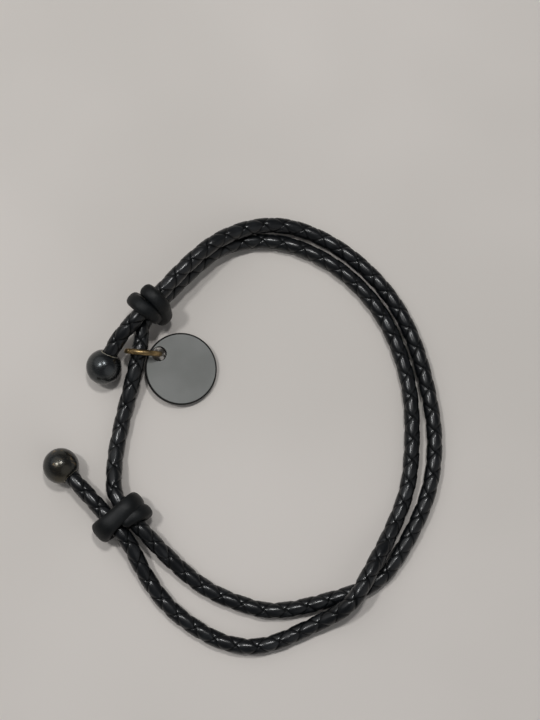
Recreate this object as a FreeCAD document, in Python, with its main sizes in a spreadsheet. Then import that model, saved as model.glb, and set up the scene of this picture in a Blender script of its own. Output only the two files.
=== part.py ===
"""Braided cord bracelet with two sliding keeper knots, ball ends and a disc charm on a jump ring.

One braided cord goes round the wrist about one and three quarter times. Both of its ends
come out through a keeper knot and carry a ball, and the knots slide to fit the wrist.
Millimetres, +Z up, the bracelet lying on Z = 0 with the middle of its box at the origin.
"""
import FreeCAD, Part
import Sketcher
import math
import os

Vector = FreeCAD.Vector
UP = Vector(0, 0, 1)

# the share of a run that the arc at each of its ends takes
ARC_SHARE = 0.45
# a cord's section is a polygon with this many sides, its corners on the cord's circle
CORD_SIDES = 8
# directions closer than this, in radians, count as the same, and so do lengths in millimetres
SAME_WAY = 1e-4
SAME_LENGTH = 0.01
# how finely a knot's centre line is measured for the gap between its turns
GAP_POINTS = 300
# how far round from the strand the jump ring's cut lies, in degrees
RING_CUT_PLACE = 45

SIZES = [
    # the braided cord
    ("cord_diameter", 3.2),
    ("cord_spacing", 3.4),
    # the keeper knots, each a short round cord
    ("knot_cord_diameter", 2.3),
    ("knot_clearance", 0.1),
    ("upper_knot_near_pass", 1.5),
    ("upper_knot_left_pass", -0.6),
    ("upper_knot_far_pass", -1.6),
    ("lower_knot_near_pass", 1.9),
    ("lower_knot_left_pass", -0.6),
    ("lower_knot_far_pass", -0.85),
    # the balls on the cord's two ends
    ("ball_diameter", 7.0),
    ("ball_bore_depth", 4.3),
    ("ball_mouth_chamfer", 0.25),
    ("glue_film", 0.1),
    ("glue_plug", 0.4),
    # the jump ring
    ("ring_outer_diameter", 7.6),
    ("ring_wire_diameter", 1.1),
    ("ring_clearance", 0.15),
    ("ring_cut_angle", 4.0),
    ("ring_rise", 0.35),
    ("ring_lean", 9.5),
    # the disc charm
    ("disc_diameter", 14.4),
    ("disc_thickness", 1.3),
    ("disc_edge_bevel", 0.2),
    ("disc_hole_diameter", 2.7),
    ("disc_hole_rim", 0.55),
    ("disc_height_at_hole", 3.0),
]

# where each knot sits, which way the strands run through it, and its roll about them
UPPER_KNOT = {"centre": (-19.0, 23.9), "heading": 48.0, "roll": 78.0}
LOWER_KNOT = {"centre": (-24.0, -17.5), "heading": -49.0, "roll": 0.0}

# the middles of the two balls
UPPER_BALL = (-28.0, 12.4)
LOWER_BALL = (-35.9, -7.2)

# which way the jump ring stands out from the strand, and the disc from its hole
RING_HEADING = -5.0
DISC_HEADING = -33.0

doc = FreeCAD.newDocument("bracelet")
sheet = doc.addObject("Spreadsheet::Sheet", "Sizes")
for row, (alias, value) in enumerate(SIZES, start=1):
    sheet.set("A%d" % row, alias)
    sheet.set("B%d" % row, str(value))
    sheet.setAlias("B%d" % row, alias)
doc.recompute()


def size(alias):
    """A driving size, read from the sheet."""
    return float(sheet.get(alias))


cord_radius = size("cord_diameter") / 2
knot_cord = size("knot_cord_diameter")
knot_lift = size("knot_clearance") + knot_cord


# Places along the cord

def strand_spot(knot, side, along):
    """A point on the axis of one of the two strands in a knot.

    side is +1 for the strand on the left of the heading, or the upper one in a rolled
    knot, and -1 for the other. along is the distance from the knot's middle.
    """
    heading = math.radians(knot["heading"])
    roll = math.radians(knot["roll"])
    forward = Vector(math.cos(heading), math.sin(heading), 0)
    left = Vector(-forward.y, forward.x, 0)
    across = left * math.cos(roll) + UP * math.sin(roll)
    half = size("cord_spacing") / 2
    height = cord_radius + knot_lift + half * math.sin(roll)
    middle = Vector(knot["centre"][0], knot["centre"][1], height)
    return middle + across * (side * half) + forward * along


def laid(x, y, lift=0.0):
    """A point of the cord's route, lift above where the cord lies on the surface."""
    return Vector(x, y, cord_radius + lift)


def bore_direction(ball, previous):
    """The ball's centre, and the way the cord's end goes into it."""
    centre = Vector(ball[0], ball[1], size("ball_diameter") / 2)
    way = (centre - previous).normalize()
    return centre, way


def cord_end_in_ball(ball, previous):
    """Where the cord stops inside the ball, above the plug of glue."""
    centre, way = bore_direction(ball, previous)
    past_centre = size("ball_bore_depth") - size("ball_diameter") / 2 - size("glue_plug")
    return centre + way * past_centre


upper_tail_bend = laid(-26.0, 16.8, 3.55)
lower_tail_bend = laid(-32.3, -10.9, 2.15)
above_ring = laid(-20.7, 17.7, 2.2)
below_ring = laid(-21.6, 13.1, 2.1)
front_join = laid(-24.75, -0.4)
inner_join = laid(12.5, -33.95)
outer_join = laid(8.65, -39.9)

ROUTES = {
    "upper_tail": [
        strand_spot(UPPER_KNOT, +1, 0.0),
        strand_spot(UPPER_KNOT, +1, -4.0),
        upper_tail_bend,
        cord_end_in_ball(UPPER_BALL, upper_tail_bend),
    ],
    "outer_run": [
        strand_spot(UPPER_KNOT, +1, 0.0),
        strand_spot(UPPER_KNOT, +1, 15.4),
        laid(-1.2, 40.6, 3.1),
        laid(6.8, 42.3, 1.05),
        laid(14.5, 40.3),
        laid(22.3, 35.4),
        laid(29.5, 27.8),
        laid(34.0, 19.0),
        laid(36.7, 8.8),
        laid(38.1, -1.6),
        laid(36.7, -12.1),
        laid(31.7, -22.3),
        laid(26.2, -29.7),
        laid(18.8, -32.4),
        inner_join,
    ],
    "lower_inner_run": [
        inner_join,
        laid(6.2, -35.5),
        laid(-1.0, -33.7),
        laid(-7.7, -30.8),
        laid(-13.2, -26.4, 0.4),
        strand_spot(LOWER_KNOT, +1, 5.5),
        strand_spot(LOWER_KNOT, +1, 0.0),
    ],
    "lower_front_run": [
        strand_spot(LOWER_KNOT, +1, 0.0),
        strand_spot(LOWER_KNOT, +1, -4.2),
        laid(-25.7, -8.9, 1.3),
        laid(-25.5, -4.3),
        front_join,
    ],
    "upper_front_run": [
        front_join,
        laid(-24.0, 3.5),
        laid(-22.8, 7.9, 1.0),
        below_ring,
        above_ring,
        strand_spot(UPPER_KNOT, -1, -2.9),
        strand_spot(UPPER_KNOT, -1, 0.0),
    ],
    "inner_run": [
        strand_spot(UPPER_KNOT, -1, 0.0),
        strand_spot(UPPER_KNOT, -1, 15.4),
        laid(-1.3, 38.6, 0.3),
        laid(6.0, 39.0),
        laid(13.0, 36.9),
        laid(20.1, 32.6),
        laid(26.7, 25.6),
        laid(30.8, 17.5),
        laid(33.2, 8.2),
        laid(33.4, -1.6),
        laid(32.5, -11.0),
        laid(28.9, -19.6, 0.2),
        laid(24.1, -27.6, 3.5),
        laid(20.5, -33.95, 3.5),
        laid(14.095, -37.48),
        outer_join,
    ],
    "lower_outer_run": [
        outer_join,
        laid(3.7, -42.1),
        laid(-3.9, -41.3),
        laid(-10.8, -37.5),
        laid(-15.9, -33.1),
        laid(-20.0, -27.0, 0.7),
        strand_spot(LOWER_KNOT, -1, 4.8),
        strand_spot(LOWER_KNOT, -1, 0.0),
    ],
    "lower_tail": [
        strand_spot(LOWER_KNOT, -1, 0.0),
        strand_spot(LOWER_KNOT, -1, -4.0),
        lower_tail_bend,
        cord_end_in_ball(LOWER_BALL, lower_tail_bend),
    ],
}


# Round tubes along a path

def arc_from(start, tangent, end):
    """The arc that leaves start along tangent and ends at end."""
    chord = end - start
    reach = chord.Length
    along = Vector(chord).normalize()
    cosine = max(-1.0, min(1.0, tangent.dot(along)))
    half_turn = math.acos(cosine)
    if half_turn < SAME_WAY:
        return Part.LineSegment(start, end).toShape()
    side = (tangent - along * cosine).normalize()
    middle = (start + end) * 0.5 + side * (reach / 2 * math.tan(half_turn / 2))
    return Part.Arc(start, middle, end).toShape()


def rounded_path(points, label):
    """Straight runs joined by tangent arcs, each as large as its two runs allow."""
    edges = []
    here = points[0]
    radii = []
    for before, corner, after in zip(points, points[1:], points[2:]):
        into = (corner - before).normalize()
        out = (after - corner).normalize()
        setback = ARC_SHARE * min((corner - before).Length, (after - corner).Length)
        turn = into.getAngle(out)
        radii.append(setback / math.tan(turn / 2))
        arc_start = corner - into * setback
        arc_end = corner + out * setback
        edges.append(Part.LineSegment(here, arc_start).toShape())
        edges.append(arc_from(arc_start, into, arc_end))
        here = arc_end
    edges.append(Part.LineSegment(here, points[-1]).toShape())
    shown = " ".join("%.0f" % radius for radius in radii)
    print("%s: arc radii %s mm" % (label, shown))
    return Part.Wire(edges)


def tube(path, start, tangent, diameter):
    """A solid cord along a path, with a many-sided section."""
    rim = Part.Circle(start, tangent, diameter / 2)
    corners = [rim.value(2 * math.pi * corner / CORD_SIDES) for corner in range(CORD_SIDES)]
    section = Part.makePolygon(corners + corners[:1])
    return path.makePipeShell([section], True, False)


def add_shape(label, shape):
    """Put a finished shape in the document as a sub-part."""
    feature = doc.addObject("Part::Feature", label)
    feature.Label = label
    feature.Shape = shape
    return feature


def report_tube(label, solid, path, diameter):
    """Compare a tube's volume with its section times its length."""
    section = CORD_SIDES / 2 * (diameter / 2) ** 2 * math.sin(2 * math.pi / CORD_SIDES)
    expected = section * path.Length
    print("%s: length %.1f mm, volume %.4f of section x length" %
          (label, path.Length, solid.Volume / expected))


def make_cord_stretch(label):
    """One free stretch of the braided cord, plain on the outside."""
    points = ROUTES[label]
    path = rounded_path(points, label)
    first_way = (points[1] - points[0]).normalize()
    solid = tube(path, points[0], first_way, size("cord_diameter"))
    report_tube(label, solid, path, size("cord_diameter"))
    return add_shape(label, solid)


# The keeper knots

def biarc(start, start_way, end, end_way):
    """Two arcs from start to end that share a tangent where they meet."""
    chord = end - start
    ways = start_way + end_way
    leftover = 4 - ways.dot(ways)
    if leftover < SAME_WAY ** 2:
        return [Part.LineSegment(start, end).toShape()]
    slope = chord.dot(ways)
    reach = (-slope + math.sqrt(slope ** 2 + leftover * chord.dot(chord))) / leftover
    near = start + start_way * reach
    far = end - end_way * reach
    joint = (near + far) * 0.5
    joint_way = (far - near).normalize()
    return [arc_from(start, start_way, joint), arc_from(joint, joint_way, end)]


def knot_stations(near, left, far):
    """Places and directions of the keeper's centre line, in the knot's own axes.

    x runs along the strands, y across them, z square to both. The keeper starts with an
    end on top, goes down the near side, under both strands on a slant, up the left side,
    over the top as a band and down the far side, where its other end stops. near, left
    and far say where along the strands each of those sides is passed.
    """
    reach = size("cord_spacing") / 2
    wrap = size("cord_diameter") / 2 + size("knot_clearance") + knot_cord / 2
    quarter = math.pi / 2 * wrap
    half_loop = 2 * quarter + 2 * reach

    def eased(first, last, travelled):
        """x and its slope, part of the way along a half loop."""
        share = math.pi * travelled / half_loop
        place = (first + last) / 2 + (first - last) / 2 * math.cos(share)
        slope = -(first - last) / 2 * math.sin(share) * math.pi / half_loop
        return place, slope

    def station(y, z, way_y, way_z, place, slope):
        return Vector(place, y, z), Vector(slope, way_y, way_z).normalize()

    stations = [
        station(reach - knot_cord, wrap, 1, 0, near, 0),
        station(reach, wrap, 1, 0, near, 0),
        station(reach + wrap, 0, 0, -1, near, 0),
    ]
    loop = [
        (reach, -wrap, -1, 0, quarter),
        (-reach, -wrap, -1, 0, quarter + 2 * reach),
    ]
    for y, z, way_y, way_z, travelled in loop:
        stations.append(station(y, z, way_y, way_z, *eased(near, left, travelled)))
    stations.append(station(-reach - wrap, 0, 0, 1, left, 0))
    for y, way_y, travelled in [(-reach, 1, quarter), (reach, 1, quarter + 2 * reach)]:
        stations.append(station(y, wrap, way_y, 0, *eased(left, far, travelled)))
    stations.append(station(reach + wrap, 0, 0, -1, far, 0))
    stations.append(station(reach + wrap, -knot_cord, 0, -1, far, 0))
    return stations


def least_gap(path, diameter):
    """The least gap between two turns of a wound tube, measured on points."""
    points = path.discretize(Number=GAP_POINTS)
    step = path.Length / (GAP_POINTS - 1)
    apart = int(2 * diameter / step)
    least = min((points[i] - points[j]).Length
                for i in range(GAP_POINTS)
                for j in range(i + apart, GAP_POINTS))
    return least - diameter


def make_keeper_knot(label, knot, heading_sign, hand):
    """A round cord tied once round both strands, as one unbroken tube."""
    heading = math.radians(knot["heading"])
    roll = math.radians(knot["roll"])
    forward = Vector(math.cos(heading), math.sin(heading), 0)
    left = Vector(-forward.y, forward.x, 0)
    x_axis = forward * heading_sign
    y_axis = left * math.cos(roll) + UP * math.sin(roll)
    z_axis = x_axis.cross(y_axis) * hand
    middle = (strand_spot(knot, +1, 0) + strand_spot(knot, -1, 0)) * 0.5

    def turned(vector):
        return x_axis * vector.x + y_axis * vector.y + z_axis * vector.z

    passes = [size(label + end) for end in ("_near_pass", "_left_pass", "_far_pass")]
    stations = [(middle + turned(place), turned(way))
                for place, way in knot_stations(*passes)]
    edges = []
    for (start, start_way), (end, end_way) in zip(stations, stations[1:]):
        edges.extend(biarc(start, start_way, end, end_way))
    path = Part.Wire(edges)
    solid = tube(path, stations[0][0], stations[0][1], knot_cord)
    report_tube(label, solid, path, knot_cord)
    print("%s: least gap to itself %.2f mm" % (label, least_gap(path, knot_cord)))
    return add_shape(label, solid)


# Bodies made from sketches

def new_body(label):
    body = doc.addObject("PartDesign::Body", label)
    body.Label = label
    return body


def plane_of(body, role):
    """One of the body's own origin planes."""
    return [item for item in body.Origin.OriginFeatures if item.Role == role][0]


def new_sketch(body, name, role, rise=0.0):
    sketch = body.newObject("Sketcher::SketchObject", name)
    sketch.AttachmentSupport = [(plane_of(body, role), "")]
    sketch.MapMode = "FlatFace"
    sketch.AttachmentOffset = FreeCAD.Placement(Vector(0, 0, rise), FreeCAD.Rotation())
    return sketch


def bind(sketch, constraint, name, expression):
    """Name a sketch's constraint and tie it to the sheet."""
    sketch.renameConstraint(constraint, name)
    sketch.setExpression("Constraints." + name, expression)


def add_circle(sketch, x, radius_name, radius_expression, place_expression=None):
    """A circle on the sketch's X axis, its radius and place tied to the sheet."""
    circle = sketch.addGeometry(Part.Circle(Vector(x, 0, 0), UP, 1.0), False)
    on_axis = Sketcher.Constraint("PointOnObject", circle, 3, -1)
    sketch.addConstraint(on_axis)
    radius = sketch.addConstraint(Sketcher.Constraint("Radius", circle, 1.0))
    bind(sketch, radius, radius_name, radius_expression)
    if place_expression is None:
        sketch.addConstraint(Sketcher.Constraint("DistanceX", -1, 1, circle, 3, 0.0))
    else:
        place = sketch.addConstraint(Sketcher.Constraint("DistanceX", -1, 1, circle, 3, x))
        bind(sketch, place, radius_name + "_place", place_expression)
    return circle


def make_ball(label, ball, previous):
    """A polished ball with a blind bore for the cord's end, its mouth chamfered."""
    body = new_body(label)
    profile = new_sketch(body, label + "_profile", "XZ_Plane")
    radius = size("ball_diameter") / 2
    arc = Part.Arc(Vector(0, -radius, 0), Vector(radius, 0, 0), Vector(0, radius, 0))
    profile.addGeometry(arc, False)
    profile.addGeometry(Part.LineSegment(Vector(0, radius, 0), Vector(0, -radius, 0)), False)
    profile.addConstraint(Sketcher.Constraint("Coincident", 0, 2, 1, 1))
    profile.addConstraint(Sketcher.Constraint("Coincident", 0, 1, 1, 2))
    profile.addConstraint(Sketcher.Constraint("PointOnObject", 1, 1, -2))
    profile.addConstraint(Sketcher.Constraint("PointOnObject", 1, 2, -2))
    profile.addConstraint(Sketcher.Constraint("Coincident", 0, 3, -1, 1))
    limit = profile.addConstraint(Sketcher.Constraint("Radius", 0, radius))
    bind(profile, limit, "ball_radius", "<<Sizes>>.ball_diameter / 2")
    ball_solid = body.newObject("PartDesign::Revolution", label + "_round")
    ball_solid.Profile = profile
    ball_solid.ReferenceAxis = (profile, ["V_Axis"])
    ball_solid.Angle = 360
    mouth = new_sketch(body, label + "_mouth", "XY_Plane")
    mouth.setExpression("AttachmentOffset.Base.z", "<<Sizes>>.ball_diameter / 2")
    add_circle(mouth, 0, "bore_radius", "<<Sizes>>.cord_diameter / 2 + <<Sizes>>.glue_film")
    bore = body.newObject("PartDesign::Pocket", label + "_bore")
    bore.Profile = mouth
    bore.Type = 0
    bore.setExpression("Length", "<<Sizes>>.ball_bore_depth")
    doc.recompute()
    bored = body.Shape.Volume < ball_solid.Shape.Volume
    print("%s: bored %s" % (label, bored))
    bore_radius = cord_radius + size("glue_film")
    rim_height = math.sqrt(radius ** 2 - bore_radius ** 2)
    rims = [index for index, edge in enumerate(bore.Shape.Edges, start=1)
            if abs(edge.BoundBox.ZMin - rim_height) < SAME_LENGTH
            and abs(edge.BoundBox.ZMax - rim_height) < SAME_LENGTH]
    chamfer = body.newObject("PartDesign::Chamfer", label + "_lead_in")
    chamfer.Base = (bore, ["Edge%d" % index for index in rims])
    chamfer.setExpression("Size", "<<Sizes>>.ball_mouth_chamfer")
    centre, way = bore_direction(ball, previous)
    body.Placement = FreeCAD.Placement(centre, FreeCAD.Rotation(UP, way * -1))
    return body


def make_glue(label, ball, previous):
    """The cup of set glue between the cord's end and the ball's bore."""
    centre, way = bore_direction(ball, previous)
    cup = doc.addObject("Part::Cylinder", label + "_outside")
    cup.setExpression("Radius", "<<Sizes>>.cord_diameter / 2 + <<Sizes>>.glue_film")
    cup.setExpression("Height", "<<Sizes>>.ball_bore_depth - <<Sizes>>.ball_mouth_chamfer"
                                " - <<Sizes>>.glue_plug")
    core = doc.addObject("Part::Cylinder", label + "_inside")
    core.setExpression("Radius", "<<Sizes>>.cord_diameter / 2")
    core.setExpression("Height", "<<Sizes>>.ball_bore_depth")
    core.setExpression("Placement.Base.z", "<<Sizes>>.glue_plug")
    glue = doc.addObject("Part::Cut", label)
    glue.Label = label
    glue.Base = cup
    glue.Tool = core
    bottom = centre + way * (size("ball_bore_depth") - size("ball_diameter") / 2)
    glue.Placement = FreeCAD.Placement(bottom, FreeCAD.Rotation(UP, way * -1))
    return glue


# The jump ring and the disc

def ring_frame():
    """The ring's centre, and its axes: its axle, outwards from the strand, and rising.

    The ring stands on edge round the strand and leans a little along it.
    """
    heading = math.radians(RING_HEADING)
    outwards = Vector(math.cos(heading), math.sin(heading), 0)
    lean = math.radians(size("ring_lean"))
    rising = UP * math.cos(lean) + outwards.cross(UP) * math.sin(lean)
    seat = (above_ring + below_ring) * 0.5
    inside = size("ring_outer_diameter") / 2 - size("ring_wire_diameter")
    offset = inside - cord_radius - size("ring_clearance")
    sideways = math.sqrt(offset ** 2 - size("ring_rise") ** 2)
    centre = seat + outwards * sideways + rising * size("ring_rise")
    return centre, outwards.cross(rising), outwards, rising


def make_jump_ring(label):
    """A round wire bent into a ring, with the cut that lets it open."""
    body = new_body(label)
    section = new_sketch(body, label + "_section", "XZ_Plane")
    mean = (size("ring_outer_diameter") - size("ring_wire_diameter")) / 2
    add_circle(section, mean, "wire_radius", "<<Sizes>>.ring_wire_diameter / 2",
               "(<<Sizes>>.ring_outer_diameter - <<Sizes>>.ring_wire_diameter) / 2")
    bend = body.newObject("PartDesign::Revolution", label + "_bend")
    bend.Profile = section
    bend.ReferenceAxis = (section, ["V_Axis"])
    bend.setExpression("Angle", "360 - <<Sizes>>.ring_cut_angle")
    centre, axle, outwards, rising = ring_frame()
    axes = FreeCAD.Rotation(outwards * -1, rising, axle * -1, "ZXY")
    cut_turn = FreeCAD.Rotation(UP, RING_CUT_PLACE)
    body.Placement = FreeCAD.Placement(centre, axes.multiply(cut_turn))
    return body


def disc_frame():
    """The hole's centre, and the disc's axes: from hole to middle, and its face's normal."""
    centre, _, outwards, rising = ring_frame()
    mean = (size("ring_outer_diameter") - size("ring_wire_diameter")) / 2
    drop = (centre.z - size("disc_height_at_hole")) / rising.z
    hole = centre + outwards * math.sqrt(mean ** 2 - drop ** 2) - rising * drop
    heading = math.radians(DISC_HEADING)
    level = Vector(math.cos(heading), math.sin(heading), 0)
    far_edge = hole_to_middle() + size("disc_diameter") / 2
    half = size("disc_thickness") / 2
    slant = math.hypot(far_edge, half)
    tilt = math.asin(size("disc_height_at_hole") / slant) - math.atan2(half, far_edge)
    along = level * math.cos(tilt) - UP * math.sin(tilt)
    normal = level * math.sin(tilt) + UP * math.cos(tilt)
    print("disc leans %.1f degrees" % math.degrees(tilt))
    return hole, along, normal


def hole_to_middle():
    """From the hole's centre to the disc's."""
    return size("disc_diameter") / 2 - size("disc_hole_rim") - size("disc_hole_diameter") / 2


def make_disc(label):
    """A flat round charm with bevelled edges and a hole close to its rim."""
    body = new_body(label)
    blank = new_sketch(body, label + "_blank", "XY_Plane")
    add_circle(blank, 0, "disc_radius", "<<Sizes>>.disc_diameter / 2")
    plate = body.newObject("PartDesign::Pad", label + "_plate")
    plate.Profile = blank
    plate.setExpression("Length", "<<Sizes>>.disc_thickness")
    plate.Midplane = True
    drilled = new_sketch(body, label + "_drilled", "XY_Plane")
    add_circle(drilled, -hole_to_middle(), "hole_radius", "<<Sizes>>.disc_hole_diameter / 2",
               "-(<<Sizes>>.disc_diameter / 2 - <<Sizes>>.disc_hole_rim"
               " - <<Sizes>>.disc_hole_diameter / 2)")
    hole = body.newObject("PartDesign::Pocket", label + "_hole")
    hole.Profile = drilled
    hole.Type = 1
    hole.Midplane = True
    doc.recompute()
    drilled_through = hole.Shape.Volume < plate.Shape.Volume
    print("%s: drilled through %s" % (label, drilled_through))
    rim_length = math.pi * size("disc_diameter")
    rims = [index for index, edge in enumerate(hole.Shape.Edges, start=1)
            if abs(edge.Length - rim_length) < SAME_LENGTH]
    edge_bevel = body.newObject("PartDesign::Chamfer", label + "_edge")
    edge_bevel.Base = (hole, ["Edge%d" % index for index in rims])
    edge_bevel.setExpression("Size", "<<Sizes>>.disc_edge_bevel")
    place, along, normal = disc_frame()
    middle = place + along * hole_to_middle()
    turn = FreeCAD.Rotation(along, normal.cross(along), normal, "ZXY")
    body.Placement = FreeCAD.Placement(middle, turn)
    return body


def check_document(parts):
    """Stop if any object failed, or if a sub-part isn't a valid solid."""
    for item in doc.Objects:
        if "Invalid" in item.State or "Error" in item.State:
            raise RuntimeError("%s failed: %s" % (item.Label, item.State))
    for part in parts:
        if part.Shape.isNull() or not part.Shape.isValid() or not part.Shape.Solids:
            raise RuntimeError("%s has no valid solid" % part.Label)


parts = [make_cord_stretch(label) for label in ROUTES]
parts.append(make_keeper_knot("upper_knot", UPPER_KNOT, -1, -1))
parts.append(make_keeper_knot("lower_knot", LOWER_KNOT, +1, +1))
parts.append(make_ball("upper_ball", UPPER_BALL, upper_tail_bend))
parts.append(make_ball("lower_ball", LOWER_BALL, lower_tail_bend))
parts.append(make_glue("upper_glue", UPPER_BALL, upper_tail_bend))
parts.append(make_glue("lower_glue", LOWER_BALL, lower_tail_bend))
parts.append(make_jump_ring("jump_ring"))
parts.append(make_disc("disc_charm"))
doc.recompute()
check_document(parts)

box = FreeCAD.BoundBox()
for part in parts:
    box.add(part.Shape.optimalBoundingBox(False, False))
print("box X %.2f to %.2f, Y %.2f to %.2f, Z %.2f to %.2f" %
      (box.XMin, box.XMax, box.YMin, box.YMax, box.ZMin, box.ZMax))
ring_centre, ring_axle, _, _ = ring_frame()
print("ring centre", ring_centre, "axle", ring_axle)

os.makedirs("parts", exist_ok=True)
for part in parts:
    part.Shape.exportStep("parts/%s.step" % part.Label)
    print("wrote", part.Label, "%.2f mm3" % part.Shape.Volume)
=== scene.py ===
# %% [markdown]
# # A braided leather bracelet with sliding knots and a disc charm
# One black cord goes round the wrist about one and three quarter times. It is braided from
# four leather laces. Two short smooth cords are tied round it as sliding knots, each of its
# ends carries a polished ball, and a disc hangs from it on a jump ring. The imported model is
# loaded first, because every piece here takes its place from that frame.

# %% Load the frame
import math

import bmesh
import bpy
from mathutils import Matrix, Vector


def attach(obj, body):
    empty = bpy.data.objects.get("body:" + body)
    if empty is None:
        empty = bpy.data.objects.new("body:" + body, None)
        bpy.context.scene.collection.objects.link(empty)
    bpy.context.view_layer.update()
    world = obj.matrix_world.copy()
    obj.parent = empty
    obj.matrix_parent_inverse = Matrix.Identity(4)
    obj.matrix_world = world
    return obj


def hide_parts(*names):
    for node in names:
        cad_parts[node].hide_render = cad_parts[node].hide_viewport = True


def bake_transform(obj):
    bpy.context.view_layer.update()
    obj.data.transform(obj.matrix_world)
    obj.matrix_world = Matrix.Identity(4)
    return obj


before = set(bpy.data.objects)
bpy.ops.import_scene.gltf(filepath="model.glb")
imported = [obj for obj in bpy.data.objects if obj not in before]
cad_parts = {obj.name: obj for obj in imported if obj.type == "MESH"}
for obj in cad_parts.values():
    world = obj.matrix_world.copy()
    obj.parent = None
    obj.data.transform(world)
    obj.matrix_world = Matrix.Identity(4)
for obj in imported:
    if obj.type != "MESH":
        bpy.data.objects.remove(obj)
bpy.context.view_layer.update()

UP = Vector((0, 0, 1))

# %% [markdown]
# The camera stands nearly straight above the bracelet, about a quarter of a metre up, as a
# hand holding a phone would. Its lens follows from what one pixel covers at the bracelet, so
# the view has the photograph's perspective as well as its frame.

# %% Show an object
def show(name, data):
    """A new object of the scene, at the origin, from a mesh, a camera or a lamp."""
    piece = bpy.data.objects.new(name, data)
    bpy.context.scene.collection.objects.link(piece)
    return piece


# %% The camera
VIEW_TARGET = Vector((0.0049, 0.0143, 0.002))
VIEW_DISTANCE = 0.26
VIEW_ELEVATION = math.radians(80)
VIEW_AZIMUTH = math.radians(-15)
IMAGE_WIDTH_PX = 540
PIXEL_COVERS = 0.0002
SENSOR_WIDTH = 36
NEAREST_SEEN = 0.01

towards_camera = Vector((math.sin(VIEW_AZIMUTH) * math.cos(VIEW_ELEVATION),
                         -math.cos(VIEW_AZIMUTH) * math.cos(VIEW_ELEVATION),
                         math.sin(VIEW_ELEVATION)))
camera_right = Vector((0, 1, 0)).cross(towards_camera).normalized()
camera_up = towards_camera.cross(camera_right)
lens = bpy.data.cameras.new("camera")
lens.sensor_fit = "HORIZONTAL"
lens.sensor_width = SENSOR_WIDTH
lens.lens = SENSOR_WIDTH * VIEW_DISTANCE / (IMAGE_WIDTH_PX * PIXEL_COVERS)
lens.clip_start = NEAREST_SEEN
camera = show("camera", lens)
camera.location = VIEW_TARGET + towards_camera * VIEW_DISTANCE
turned = Matrix((camera_right, camera_up, towards_camera)).transposed()
camera.rotation_euler = turned.to_euler()
bpy.context.scene.camera = camera
bpy.context.scene.view_settings.view_transform = "Standard"
print("lens %.1f mm" % lens.lens)

# %% [markdown]
# The cord's route is the same list of points that the solid model follows, in metres. At
# each knot two strands lie side by side, or one above the other where the knot is rolled,
# and a small function says where each strand is. Everywhere else the cord lies on the
# table, or is lifted a little where it climbs over itself.

# %% Places along the cord
CORD_DIAMETER = 0.0032
CORD_RADIUS = CORD_DIAMETER / 2
STRAND_SPACING = 0.0034
KEEPER_DIAMETER = 0.0023
KEEPER_CLEARANCE = 0.0001
BALL_RADIUS = 0.0035
BORE_DEPTH = 0.0043
GLUE_PLUG = 0.0004

UPPER_KNOT = {"middle": (-0.0190, 0.0239), "heading": 48, "roll": 78}
LOWER_KNOT = {"middle": (-0.0240, -0.0175), "heading": -49, "roll": 0}
UPPER_BALL = (-0.0280, 0.0124)
LOWER_BALL = (-0.0359, -0.0072)


def knot_axes(knot):
    """The way the strands run through a knot, and the way from one strand to the other."""
    heading = math.radians(knot["heading"])
    roll = math.radians(knot["roll"])
    forward = Vector((math.cos(heading), math.sin(heading), 0))
    left = Vector((-forward.y, forward.x, 0))
    return forward, left * math.cos(roll) + UP * math.sin(roll)


def knot_middle(knot):
    """The point halfway between the two strands in a knot."""
    half_rise = STRAND_SPACING / 2 * math.sin(math.radians(knot["roll"]))
    height = CORD_RADIUS + KEEPER_CLEARANCE + KEEPER_DIAMETER + half_rise
    return Vector((*knot["middle"], height))


def strand_spot(knot, side, along):
    """A point on the axis of the strand on one side (+1 or -1) of a knot."""
    forward, across = knot_axes(knot)
    return knot_middle(knot) + across * (side * STRAND_SPACING / 2) + forward * along


def laid(x, y, lift=0.0):
    """A point of the route, lift above where the cord lies on the table."""
    return Vector((x, y, CORD_RADIUS + lift))


def laid_row(*places):
    """Points of the route one after the other, each from x, y and its lift if it has one."""
    return [laid(*place) for place in places]


def ball_middle(ball):
    """Where a ball's middle is, when the ball rests on the table."""
    return Vector((*ball, BALL_RADIUS))


def end_in_ball(ball, previous):
    """Where the cord stops inside a ball's bore, above its plug of glue."""
    middle = ball_middle(ball)
    way = (middle - previous).normalized()
    return middle + way * (BORE_DEPTH - BALL_RADIUS - GLUE_PLUG)


# %% The route, stretch by stretch
KNOT_MOUTH = 0.0040
UPPER_STRAIGHT = 0.0154
UPPER_TAIL_BEND = laid(-0.0260, 0.0168, 0.00355)
LOWER_TAIL_BEND = laid(-0.0323, -0.0109, 0.00215)
ABOVE_RING = laid(-0.0207, 0.0177, 0.0022)
BELOW_RING = laid(-0.0216, 0.0131, 0.0021)
FRONT_JOIN = laid(-0.02475, -0.0004)
INNER_JOIN = laid(0.0125, -0.03395)
OUTER_JOIN = laid(0.00865, -0.0399)
INNER_STAY = laid(0.0062, -0.0355)
OUTER_STAY = laid(0.0037, -0.0421)
FRONT_AT_KNOT = strand_spot(LOWER_KNOT, +1, -0.0042)

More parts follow.
